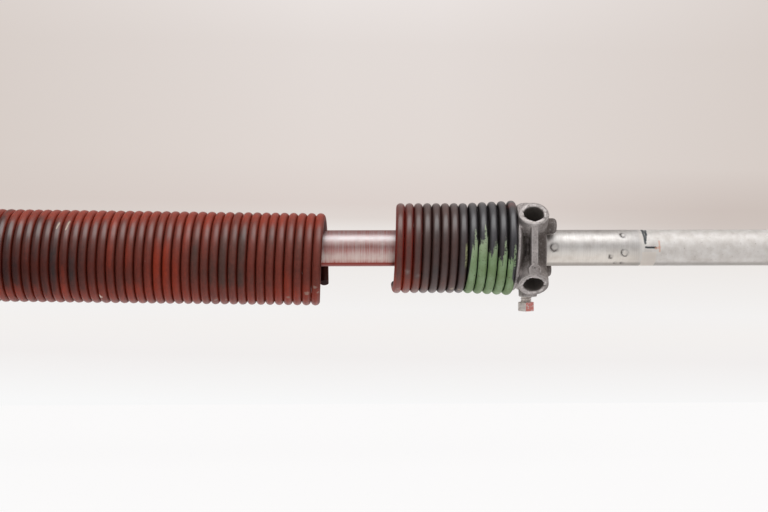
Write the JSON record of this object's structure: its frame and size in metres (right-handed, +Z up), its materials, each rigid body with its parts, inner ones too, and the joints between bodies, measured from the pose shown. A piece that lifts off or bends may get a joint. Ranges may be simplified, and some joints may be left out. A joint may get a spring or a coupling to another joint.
{
  "type": "torsion spring on shaft",
  "caption": "Torsion spring of a sectional garage door, snapped in two on its tube shaft, with a cast winding cone, set screws and an anchored stationary cone.",
  "frame": {"origin": "on the shaft's axis, at the face of the stationary cone that bolts to its bracket", "axes": "+X along the shaft from the stationary cone to the winding cone, +Z up, -Y the front that faces the room"},
  "size_m": [0.9314, 0.0799, 0.112],
  "materials": {
    "shaft_steel": "zinc-plated, dull",
    "long_coils": "red-brown paint on oil-tempered wire, worn",
    "short_coils": "dark wire with red paint at the break and green paint by the cone, worn",
    "cone_casting": "as cast, dirty",
    "screw_steel": "plain steel, worn",
    "bearing_steel": "polished steel"
  },
  "bodies": {
    "anchor": {"stationary_cone": "cone_casting", "bearing_outer_race": "bearing_steel", "bearing_balls": "bearing_steel", "spring_long_section": "long_coils"},
    "shaft": {"torsion_shaft": "shaft_steel", "bearing_inner_race": "bearing_steel", "winding_cone": "cone_casting", "set_screw_lower": "screw_steel", "set_screw_rear": "screw_steel", "spring_short_section": "short_coils"}
  },
  "joints": [
    {"name": "shaft_spin", "type": "hinge", "parent": "anchor", "child": "shaft", "pos_m": [0, 0, 0], "axis": [1, 0, 0], "continuous": true}
  ]
}
